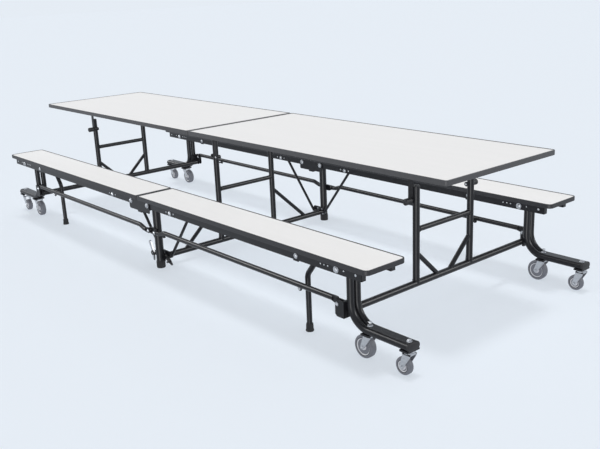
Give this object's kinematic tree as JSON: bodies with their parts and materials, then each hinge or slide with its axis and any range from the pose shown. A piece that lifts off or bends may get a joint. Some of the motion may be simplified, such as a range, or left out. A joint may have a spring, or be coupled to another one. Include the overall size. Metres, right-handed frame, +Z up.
{
  "type": "folding cafeteria table with benches",
  "caption": "Long folding cafeteria table on casters with a bench along each side, white laminate tops, dark edges and a black steel tube frame.",
  "frame": {"origin": "on the floor below the middle of the open table", "axes": "+X along the table to its right end as the picture shows it, +Y across it to the far bench, +Z up"},
  "size_m": [3.748, 1.473, 0.737],
  "materials": {
    "black_steel": "black powder coat",
    "zinc_plate": "bright zinc plate",
    "laminate": "white laminate, satin",
    "edge_moulding": "dark moulded edge",
    "rubber": "matt",
    "wheel_tread": "grey tread"
  },
  "bodies": {
    "left_end": {"left_end_frame": "black_steel", "near_left_swoop": "black_steel", "near_left_fixed_fork": "zinc_plate", "far_left_swoop": "black_steel", "far_left_fixed_fork": "zinc_plate"},
    "left_top": {"left_table_board": "laminate", "left_table_edge_band": "edge_moulding", "left_table_rails": "black_steel"},
    "right_end": {"right_end_frame": "black_steel", "near_right_swoop": "black_steel", "near_right_fixed_fork": "zinc_plate", "far_right_swoop": "black_steel", "far_right_fixed_fork": "zinc_plate"},
    "right_top": {"right_table_board": "laminate", "right_table_edge_band": "edge_moulding", "right_table_rails": "black_steel"},
    "centre": {"centre_frame": "black_steel", "near_centre_leg": "black_steel", "far_centre_leg": "black_steel"},
    "near_left_bench": {"near_left_bench_board": "laminate", "near_left_bench_edge_band": "edge_moulding", "near_left_bench_rails": "black_steel"},
    "near_left_rod": {"near_left_rod": "black_steel"},
    "near_left_drop_leg": {"near_left_drop_leg": "black_steel", "near_left_ferrule": "rubber"},
    "near_left_lock_brace": {"near_left_lock_brace": "black_steel"},
    "near_left_swivel_fork": {"near_left_swivel_fork": "zinc_plate"},
    "near_left_fixed_wheel": {"near_left_fixed_wheel": "wheel_tread"},
    "near_left_swivel_wheel": {"near_left_swivel_wheel": "wheel_tread"},
    "far_left_bench": {"far_left_bench_board": "laminate", "far_left_bench_edge_band": "edge_moulding", "far_left_bench_rails": "black_steel"},
    "far_left_rod": {"far_left_rod": "black_steel"},
    "far_left_drop_leg": {"far_left_drop_leg": "black_steel", "far_left_ferrule": "rubber"},
    "far_left_lock_brace": {"far_left_lock_brace": "black_steel"},
    "far_left_swivel_fork": {"far_left_swivel_fork": "zinc_plate"},
    "far_left_fixed_wheel": {"far_left_fixed_wheel": "wheel_tread"},
    "far_left_swivel_wheel": {"far_left_swivel_wheel": "wheel_tread"},
    "near_right_bench": {"near_right_bench_board": "laminate", "near_right_bench_edge_band": "edge_moulding", "near_right_bench_rails": "black_steel"},
    "near_right_rod": {"near_right_rod": "black_steel"},
    "near_right_drop_leg": {"near_right_drop_leg": "black_steel", "near_right_ferrule": "rubber"},
    "near_right_lock_brace": {"near_right_lock_brace": "black_steel"},
    "near_right_swivel_fork": {"near_right_swivel_fork": "zinc_plate"},
    "near_right_fixed_wheel": {"near_right_fixed_wheel": "wheel_tread"},
    "near_right_swivel_wheel": {"near_right_swivel_wheel": "wheel_tread"},
    "far_right_bench": {"far_right_bench_board": "laminate", "far_right_bench_edge_band": "edge_moulding", "far_right_bench_rails": "black_steel"},
    "far_right_rod": {"far_right_rod": "black_steel"},
    "far_right_drop_leg": {"far_right_drop_leg": "black_steel", "far_right_ferrule": "rubber"},
    "far_right_lock_brace": {"far_right_lock_brace": "black_steel"},
    "far_right_swivel_fork": {"far_right_swivel_fork": "zinc_plate"},
    "far_right_fixed_wheel": {"far_right_fixed_wheel": "wheel_tread"},
    "far_right_swivel_wheel": {"far_right_swivel_wheel": "wheel_tread"},
    "release_lever": {"release_lever": "zinc_plate"}
  },
  "joints": [
    {"name": "fold", "type": "hinge", "parent": "left_end", "child": "left_top", "pos_m": [-1.493, 0, 0.565], "axis": [0, -1, 0], "range_deg": [0, 80]},
    {"name": "centre_turn", "type": "hinge", "parent": "left_top", "child": "centre", "pos_m": [-0.03, 0, 0.565], "axis": [0, 1, 0], "range_deg": [0, 80]},
    {"name": "right_top_turn", "type": "hinge", "parent": "centre", "child": "right_top", "pos_m": [0.03, 0, 0.565], "axis": [0, 1, 0], "range_deg": [0, 80]},
    {"name": "right_end_turn", "type": "hinge", "parent": "right_top", "child": "right_end", "pos_m": [1.493, 0, 0.565], "axis": [0, -1, 0], "range_deg": [0, 80]},
    {"name": "near_left_bench_turn", "type": "hinge", "parent": "left_end", "child": "near_left_bench", "pos_m": [-1.548, -0.622, 0.395], "axis": [0, -1, 0], "range_deg": [0, 80]},
    {"name": "near_left_rod_turn", "type": "hinge", "parent": "left_end", "child": "near_left_rod", "pos_m": [-1.495, -0.658, 0.218], "axis": [0, -1, 0], "range_deg": [0, 80]},
    {"name": "near_left_drop_leg_turn", "type": "hinge", "parent": "near_left_bench", "child": "near_left_drop_leg", "pos_m": [-1.301, -0.622, 0.395], "axis": [0, 1, 0], "range_deg": [0, 80]},
    {"name": "near_left_lock_brace_turn", "type": "hinge", "parent": "near_left_bench", "child": "near_left_lock_brace", "pos_m": [-0.305, -0.622, 0.386], "axis": [0, 1, 0], "range_deg": [0, 119]},
    {"name": "near_left_swivel", "type": "hinge", "parent": "left_end", "child": "near_left_swivel_fork", "pos_m": [-1.851, -0.622, 0.1117], "axis": [0, 0, 1], "continuous": true},
    {"name": "near_left_fixed_wheel_spin", "type": "hinge", "parent": "left_end", "child": "near_left_fixed_wheel", "pos_m": [-1.611, -0.622, 0.051], "axis": [0, 1, 0], "continuous": true},
    {"name": "near_left_swivel_wheel_spin", "type": "hinge", "parent": "near_left_swivel_fork", "child": "near_left_swivel_wheel", "pos_m": [-1.826, -0.622, 0.038], "axis": [0, 1, 0], "continuous": true},
    {"name": "far_left_bench_turn", "type": "hinge", "parent": "left_end", "child": "far_left_bench", "pos_m": [-1.548, 0.622, 0.395], "axis": [0, -1, 0], "range_deg": [0, 80]},
    {"name": "far_left_rod_turn", "type": "hinge", "parent": "left_end", "child": "far_left_rod", "pos_m": [-1.495, 0.658, 0.218], "axis": [0, -1, 0], "range_deg": [0, 80]},
    {"name": "far_left_drop_leg_turn", "type": "hinge", "parent": "far_left_bench", "child": "far_left_drop_leg", "pos_m": [-1.239, 0.622, 0.395], "axis": [0, 1, 0], "range_deg": [0, 80]},
    {"name": "far_left_lock_brace_turn", "type": "hinge", "parent": "far_left_bench", "child": "far_left_lock_brace", "pos_m": [-0.305, 0.622, 0.386], "axis": [0, 1, 0], "range_deg": [0, 119]},
    {"name": "far_left_swivel", "type": "hinge", "parent": "left_end", "child": "far_left_swivel_fork", "pos_m": [-1.851, 0.622, 0.1117], "axis": [0, 0, 1], "continuous": true},
    {"name": "far_left_fixed_wheel_spin", "type": "hinge", "parent": "left_end", "child": "far_left_fixed_wheel", "pos_m": [-1.611, 0.622, 0.051], "axis": [0, 1, 0], "continuous": true},
    {"name": "far_left_swivel_wheel_spin", "type": "hinge", "parent": "far_left_swivel_fork", "child": "far_left_swivel_wheel", "pos_m": [-1.826, 0.622, 0.038], "axis": [0, 1, 0], "continuous": true},
    {"name": "near_right_bench_turn", "type": "hinge", "parent": "centre", "child": "near_right_bench", "pos_m": [0.085, -0.622, 0.395], "axis": [0, 1, 0], "range_deg": [0, 80]},
    {"name": "near_right_rod_turn", "type": "hinge", "parent": "centre", "child": "near_right_rod", "pos_m": [0.032, -0.658, 0.218], "axis": [0, 1, 0], "range_deg": [0, 80]},
    {"name": "near_right_drop_leg_turn", "type": "hinge", "parent": "near_right_bench", "child": "near_right_drop_leg", "pos_m": [1.301, -0.622, 0.395], "axis": [0, -1, 0], "range_deg": [0, 80]},
    {"name": "near_right_lock_brace_turn", "type": "hinge", "parent": "near_right_bench", "child": "near_right_lock_brace", "pos_m": [0.305, -0.622, 0.386], "axis": [0, -1, 0], "range_deg": [0, 119]},
    {"name": "near_right_swivel", "type": "hinge", "parent": "right_end", "child": "near_right_swivel_fork", "pos_m": [1.851, -0.622, 0.1117], "axis": [0, 0, 1], "continuous": true},
    {"name": "near_right_fixed_wheel_spin", "type": "hinge", "parent": "right_end", "child": "near_right_fixed_wheel", "pos_m": [1.611, -0.622, 0.051], "axis": [0, 1, 0], "continuous": true},
    {"name": "near_right_swivel_wheel_spin", "type": "hinge", "parent": "near_right_swivel_fork", "child": "near_right_swivel_wheel", "pos_m": [1.826, -0.622, 0.038], "axis": [0, 1, 0], "continuous": true},
    {"name": "far_right_bench_turn", "type": "hinge", "parent": "centre", "child": "far_right_bench", "pos_m": [0.085, 0.622, 0.395], "axis": [0, 1, 0], "range_deg": [0, 80]},
    {"name": "far_right_rod_turn", "type": "hinge", "parent": "centre", "child": "far_right_rod", "pos_m": [0.032, 0.658, 0.218], "axis": [0, 1, 0], "range_deg": [0, 80]},
    {"name": "far_right_drop_leg_turn", "type": "hinge", "parent": "far_right_bench", "child": "far_right_drop_leg", "pos_m": [1.239, 0.622, 0.395], "axis": [0, -1, 0], "range_deg": [0, 80]},
    {"name": "far_right_lock_brace_turn", "type": "hinge", "parent": "far_right_bench", "child": "far_right_lock_brace", "pos_m": [0.305, 0.622, 0.386], "axis": [0, -1, 0], "range_deg": [0, 119]},
    {"name": "far_right_swivel", "type": "hinge", "parent": "right_end", "child": "far_right_swivel_fork", "pos_m": [1.851, 0.622, 0.1117], "axis": [0, 0, 1], "continuous": true},
    {"name": "far_right_fixed_wheel_spin", "type": "hinge", "parent": "right_end", "child": "far_right_fixed_wheel", "pos_m": [1.611, 0.622, 0.051], "axis": [0, 1, 0], "continuous": true},
    {"name": "far_right_swivel_wheel_spin", "type": "hinge", "parent": "far_right_swivel_fork", "child": "far_right_swivel_wheel", "pos_m": [1.826, 0.622, 0.038], "axis": [0, 1, 0], "continuous": true},
    {"name": "release", "type": "hinge", "parent": "centre", "child": "release_lever", "pos_m": [-0.042, -0.6368, 0.082], "axis": [0, 1, 0], "range_deg": [-20, 0]}
  ],
  "couplings": [
    {"joint": "centre_turn", "follows": "fold", "ratio": 1},
    {"joint": "right_top_turn", "follows": "fold", "ratio": 1},
    {"joint": "right_end_turn", "follows": "fold", "ratio": 1},
    {"joint": "near_left_bench_turn", "follows": "fold", "ratio": 1},
    {"joint": "near_left_rod_turn", "follows": "fold", "ratio": 1},
    {"joint": "near_left_drop_leg_turn", "follows": "fold", "ratio": 1},
    {"joint": "near_left_lock_brace_turn", "follows": "fold", "ratio": 1.483},
    {"joint": "far_left_bench_turn", "follows": "fold", "ratio": 1},
    {"joint": "far_left_rod_turn", "follows": "fold", "ratio": 1},
    {"joint": "far_left_drop_leg_turn", "follows": "fold", "ratio": 1},
    {"joint": "far_left_lock_brace_turn", "follows": "fold", "ratio": 1.483},
    {"joint": "near_right_bench_turn", "follows": "fold", "ratio": 1},
    {"joint": "near_right_rod_turn", "follows": "fold", "ratio": 1},
    {"joint": "near_right_drop_leg_turn", "follows": "fold", "ratio": 1},
    {"joint": "near_right_lock_brace_turn", "follows": "fold", "ratio": 1.483},
    {"joint": "far_right_bench_turn", "follows": "fold", "ratio": 1},
    {"joint": "far_right_rod_turn", "follows": "fold", "ratio": 1},
    {"joint": "far_right_drop_leg_turn", "follows": "fold", "ratio": 1},
    {"joint": "far_right_lock_brace_turn", "follows": "fold", "ratio": 1.483}
  ]
}
